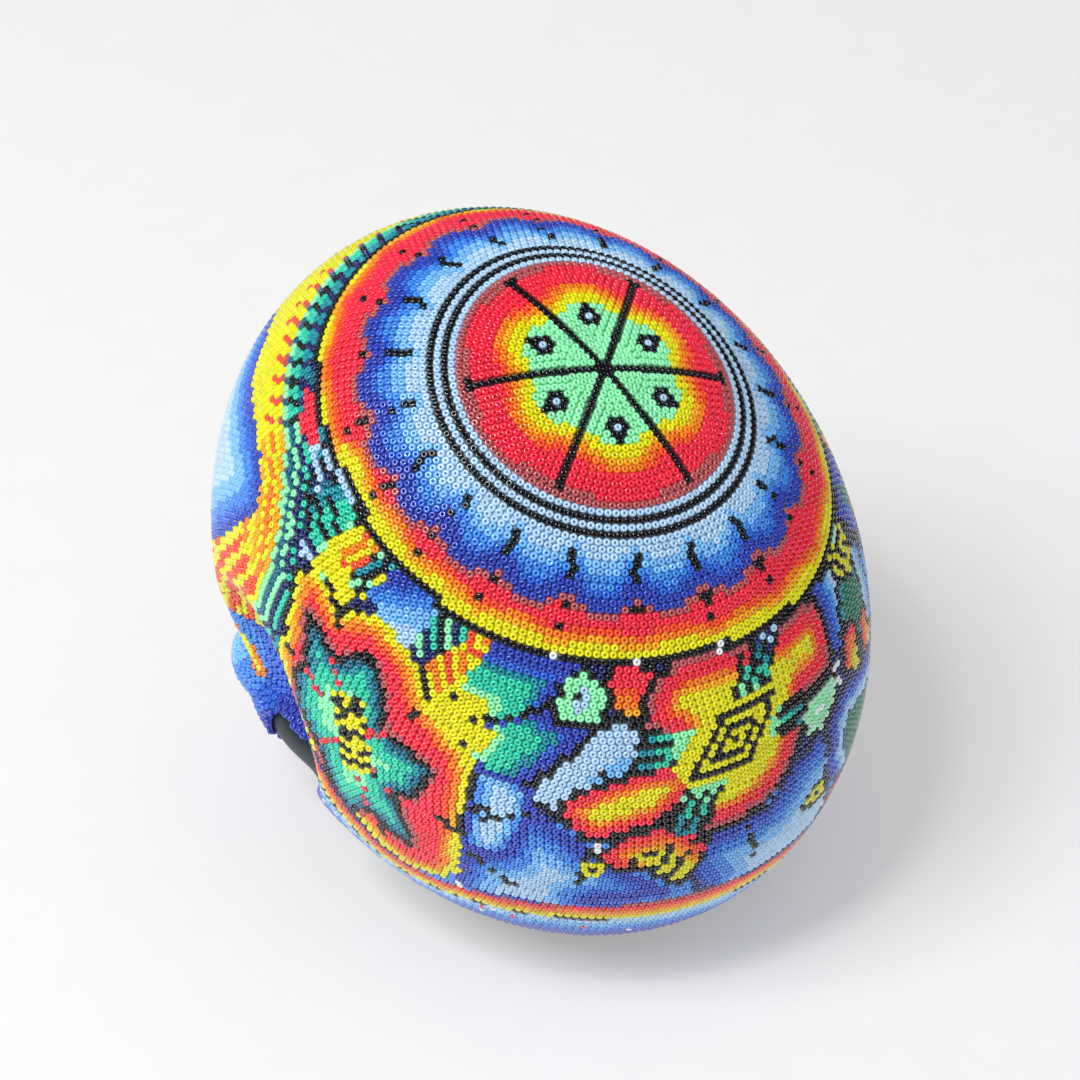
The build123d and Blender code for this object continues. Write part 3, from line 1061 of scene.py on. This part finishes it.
def two_tone(nodes, links, value, tones, places=(0.0, 1.0)):
    """A colour between two tones, which value reaches at these places."""
    node = nodes.new("ShaderNodeValToRGB")
    for k in range(2):
        node.color_ramp.elements[k].position = places[k]
        node.color_ramp.elements[k].color = (*tones[k], 1)
    links.new(value, node.inputs["Fac"])
    return node.outputs["Color"]


def attribute(nodes, name):
    node = nodes.new("ShaderNodeAttribute")
    node.attribute_name = name
    return node.outputs["Color"]


def settings(bsdf, values):
    for name, value in values.items():
        bsdf.inputs[name].default_value = value


THROUGH_LIGHT = 0.09  # stands for the light that passes through the glass
PAINTED_BEAD_LIGHT = 0.85  # painted light: how much of a bead's colour is laid on the wax round it, standing for light shining through and off the glass
FLOOR_GLOW = 0.32  # a lit floor, so that the shadow stays pale


def bead_glass():
    mat, nodes, links, bsdf = material("seed bead glass")
    tint = attribute(nodes, "bead")
    clouds = noise(nodes, links, 900.0)
    clouded = nodes.new("ShaderNodeVectorMath")
    clouded.operation = "SCALE"
    links.new(tint, clouded.inputs[0])
    links.new(spread(nodes, links, clouds, 0.9, 1.1), clouded.inputs["Scale"])
    links.new(clouded.outputs["Vector"], bsdf.inputs["Base Color"])
    links.new(spread(nodes, links, clouds, 0.12, 0.26), bsdf.inputs["Roughness"])
    links.new(tint, bsdf.inputs["Emission Color"])
    settings(bsdf, {"Emission Strength": THROUGH_LIGHT, "Specular IOR Level": 0.3, "Coat IOR": 1.7,
                    "Coat Weight": 1.0, "Coat Roughness": 0.05})
    return mat


def wax():
    mat, nodes, links, bsdf = material("dark wax")
    lumps = noise(nodes, links, 420.0, 4.0)
    # painted light: the wax's own dark brown is mixed with the nearest bead's colour, standing for light
    # from the glass
    mix = nodes.new("ShaderNodeMix")
    mix.data_type = "RGBA"
    mix.inputs["Factor"].default_value = PAINTED_BEAD_LIGHT
    links.new(two_tone(nodes, links, lumps, ((0.012, 0.008, 0.005), (0.045, 0.028, 0.016))), mix.inputs["A"])
    links.new(attribute(nodes, "bead_light_on_wax"), mix.inputs["B"])
    links.new(mix.outputs["Result"], bsdf.inputs["Base Color"])
    settings(bsdf, {"Roughness": 0.5})
    bump(nodes, links, bsdf, lumps, 0.5, 0.0003)
    return mat


def resin():
    mat, nodes, links, bsdf = material("slate resin")
    wide = noise(nodes, links, 40.0, 5.0)
    fine = noise(nodes, links, 1400.0, 3.0)
    slate = two_tone(nodes, links, wide, ((0.013, 0.023, 0.032), (0.024, 0.040, 0.052)), (0.3, 0.75))
    links.new(slate, bsdf.inputs["Base Color"])
    links.new(spread(nodes, links, fine, 0.34, 0.5), bsdf.inputs["Roughness"])
    bump(nodes, links, bsdf, fine, 0.12, 0.0002)
    return mat


def paper():
    mat, nodes, links, bsdf = material("pale paper floor")
    fibres = noise(nodes, links, 60.0, 6.0)
    links.new(two_tone(nodes, links, fibres, ([0.60] * 3, [0.63] * 3)), bsdf.inputs["Base Color"])
    settings(bsdf, {"Roughness": 0.9, "Emission Color": (1, 1, 1, 1), "Emission Strength": FLOOR_GLOW,
                    "Specular IOR Level": 0.1})
    return mat


# ---- bead meshes
# One bead stands on end, hole outward: (radius, height) round its section, mm.
BEAD_SECTION = ((0.22, -0.30), (0.29, 0.36), (0.54, 0.58), (0.84, 0.42), (0.985, 0.0), (0.74, -0.60))
BEAD_MIDDLE = 0.58  # the middle of a bead lies this far below its top
SPOKE_SIZE = 0.9  # the black beads of a spoke are smaller, to sit closer
SIZE_SPREAD = 0.025  # spreads are standard deviations, as shares
TILT_SPREAD = 0.055
TONE_SPREAD = 0.05
CELL_FILL = 0.42  # each bead has its own cell of the UV square, this full


def bead_template():
    """Vertices and faces of one bead at the origin."""
    per = len(BEAD_SECTION)
    verts = []
    faces = []
    for i in range(BEAD_SEGMENTS):
        turn = i * 2 * math.pi / BEAD_SEGMENTS
        here, there = i * per, (i + 1) % BEAD_SEGMENTS * per
        for j, (radius, height) in enumerate(BEAD_SECTION):
            verts.append((radius * math.cos(turn), radius * math.sin(turn), height))
            j2 = (j + 1) % per
            faces.append((here + j, here + j2, there + j2, there + j))
    return np.array(verts), np.array(faces)


TEMPLATE, TEMPLATE_FACES = bead_template()


def bead_vertices(index):
    """Vertices of the beads in index, one block each."""
    count = len(index)
    up = normals[index] + rng.normal(0, TILT_SPREAD, (count, 3))
    up = up / np.linalg.norm(up, axis=1)[:, None]
    side = np.cross(up, rng.normal(0, 1, (count, 3)))
    side = side / np.linalg.norm(side, axis=1)[:, None]
    other = np.cross(up, side)
    size = 1 + rng.normal(0, SIZE_SPREAD, (count, 1, 1))
    size[on_spoke[index]] *= SPOKE_SIZE
    middle = points[index] - normals[index] * BEAD_MIDDLE
    shape = TEMPLATE * size
    placed = (shape[:, :, 0:1] * side[:, None] + shape[:, :, 1:2] * other[:, None]
              + shape[:, :, 2:3] * up[:, None])
    return middle[:, None] + placed


def bead_piece(name, index, mat):
    count = len(index)
    per = len(TEMPLATE)
    verts = bead_vertices(index).reshape(-1, 3) * MM
    faces = (TEMPLATE_FACES[None] + np.arange(count)[:, None, None] * per).reshape(-1, 4)
    mesh = bpy.data.meshes.new(name)
    mesh.vertices.add(len(verts))
    mesh.vertices.foreach_set("co", verts.ravel())
    mesh.loops.add(faces.size)
    mesh.loops.foreach_set("vertex_index", faces.ravel())
    mesh.polygons.add(len(faces))
    mesh.polygons.foreach_set("loop_start", np.arange(len(faces)) * 4)
    mesh.polygons.foreach_set("use_smooth", np.ones(len(faces), bool))
    mesh.update(calc_edges=True)
    tone = 1 + rng.normal(0, TONE_SPREAD, (count, 1))
    tint = np.ones((count, 4))
    tint[:, :3] = TABLE[colour[index]] * tone
    painted = mesh.color_attributes.new("bead", "FLOAT_COLOR", "POINT")
    painted.data.foreach_set("color", np.repeat(tint, per, axis=0).ravel())
    across = math.ceil(math.sqrt(count))
    cell = np.arange(count)
    corner = np.stack([cell % across, cell // across], axis=1) + 0.5
    flat = TEMPLATE[:, :2] / TEMPLATE[:, :2].max() * CELL_FILL
    uv = (corner[:, None] + flat[None]).reshape(-1, 2) / across
    layer = mesh.uv_layers.new(name="OFBake")
    layer.data.foreach_set("uv", uv[faces.ravel()].ravel())
    mesh.materials.append(mat)
    return linked(name, mesh)


def add_beads():
    mat = bead_glass()
    for k, field in enumerate(FIELDS):
        index = np.nonzero(fields == k)[0]
        parts = max(1, math.ceil(len(index) / CHUNK))
        for part, chunk in enumerate(np.array_split(index, parts)):
            piece = bead_piece("%s_laid_%d" % (field, part + 1), chunk, mat)
            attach(piece, "root")
            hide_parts(field)


# ---- casting and wax
WAX_REACH = 1.9  # the wax runs this far past the outermost beads
WAX_THICK = 0.6


def surface_piece(name, verts, faces, mat):
    mesh = bpy.data.meshes.new(name)
    mesh.from_pydata((verts * MM).tolist(), [], faces)
    mesh.polygons.foreach_set("use_smooth", np.ones(len(faces), bool))
    mesh.materials.append(mat)
    obj = linked(name, mesh)
    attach(obj, "root")
    return obj


def add_casting():
    obj = surface_piece("resin_casting", casting_verts, casting_faces, resin())
    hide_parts("core_casting")


def add_wax():
    """A thin shell under the beads, with painted light: it takes on the colour of the bead nearest to each
    place.
    """
    tree = place_tree(points)
    near = np.array([tree.find(v)[2] < WAX_REACH for v in skin_verts])
    keep = [f for f in casting_faces if all(near[v] for v in f)]
    used = sorted({v for f in keep for v in f})
    place = {v: i for i, v in enumerate(used)}
    count = len(used)
    top = casting_verts[used] + casting_normals[used] * WAX_OVER_CASTING
    low = top - casting_normals[used] * WAX_THICK
    faces = [tuple(place[v] for v in f) for f in keep]
    edges = {}
    for f in faces:
        for a, b in zip(f, f[1:] + f[:1]):
            edges[(a, b)] = (b, a)
    walls = [(a, a + count, b + count, b) for a, b in edges if (b, a) not in edges]
    under = [tuple(v + count for v in reversed(f)) for f in faces]
    obj = surface_piece("wax_bed_laid", np.vstack([top, low]), faces + under + walls, wax())
    # painted light: each wax vertex gets the colour of its nearest bead
    tint = np.ones((2 * count, 4))
    tint[:, :3] = TABLE[np.array([colour[tree.find(v)[1]] for v in skin_verts[used]] * 2)]
    bead_light_on_wax = obj.data.color_attributes.new("bead_light_on_wax", "FLOAT_COLOR", "POINT")
    bead_light_on_wax.data.foreach_set("color", tint.ravel())
    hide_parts("wax_bed")


add_casting()
add_wax()
add_beads()


# ---- floor, light, camera, in metres
FLOOR_HALF = 3.0
CAMERA_AZIMUTH = math.radians(138.05)
CAMERA_HEIGHT = math.radians(40.96)
CAMERA_ROLL = math.radians(0.75)
CAMERA_DISTANCE = 0.737
TARGET = Vector((0.0, 0.0, 0.0731))
LENS = 98.27
SHIFT = (-0.00716, 0.0382)
KEY_PLACE = (-1.0, 0.75, 1.0)  # to the camera's right, toward it and straight up
KEY_SIZE = 0.8
KEY_WATTS = 20.5
SPARKLE_PLACE = (-0.45, 0.75, 1.3)  # to the camera's right, its up and toward it
SPARKLE_SIZE = 0.2  # a small light that puts a glint on every bead
SPARKLE_WATTS = 4.5
SKY_STRENGTH = 0.44


def add_floor():
    mesh = bpy.data.meshes.new("floor")
    corners = [(x * FLOOR_HALF, y * FLOOR_HALF, 0) for x, y in ((-1, -1), (1, -1), (1, 1), (-1, 1))]
    mesh.from_pydata(corners, [], [(0, 1, 2, 3)])
    mesh.materials.append(paper())
    obj = linked("floor", mesh)


def camera_axes():
    a, e = CAMERA_AZIMUTH, CAMERA_HEIGHT
    right = Vector((math.cos(a), math.sin(a), 0))
    back = Vector((math.sin(a) * math.cos(e), -math.cos(a) * math.cos(e), math.sin(e)))
    up = back.cross(right)
    r = CAMERA_ROLL
    return right * math.cos(r) + up * math.sin(r), up * math.cos(r) - right * math.sin(r), back


def add_camera():
    right, up, back = camera_axes()
    data = bpy.data.cameras.new("camera")
    data.sensor_width = 36.0
    data.lens = LENS
    data.shift_x, data.shift_y = SHIFT
    obj = linked("camera", data)
    obj.matrix_world = Matrix((right, up, back)).transposed().to_4x4()
    obj.location = TARGET + back * CAMERA_DISTANCE
    bpy.context.scene.camera = obj


def area_light(name, place, size, power):
    data = bpy.data.lights.new(name, "AREA")
    data.size = size
    data.energy = power
    obj = linked(name, data)
    obj.location = place
    obj.rotation_euler = (TARGET - place).to_track_quat("-Z", "Y").to_euler()


def add_lights():
    right, up, back = camera_axes()
    x, y, z = KEY_PLACE
    area_light("key light", TARGET + right * x + back * y + Vector((0, 0, z)), KEY_SIZE, KEY_WATTS)
    x, y, z = SPARKLE_PLACE
    area_light("sparkle light", TARGET + right * x + up * y + back * z, SPARKLE_SIZE, SPARKLE_WATTS)
    world = bpy.data.worlds.new("studio")
    world.use_nodes = True
    sky = world.node_tree.nodes["Background"]
    sky.inputs["Color"].default_value = (1.0, 1.0, 1.0, 1)
    sky.inputs["Strength"].default_value = SKY_STRENGTH
    world.cycles_visibility.glossy = False
    bpy.context.scene.world = world
    bpy.context.scene.view_settings.view_transform = "Standard"


add_floor()
add_lights()
add_camera()
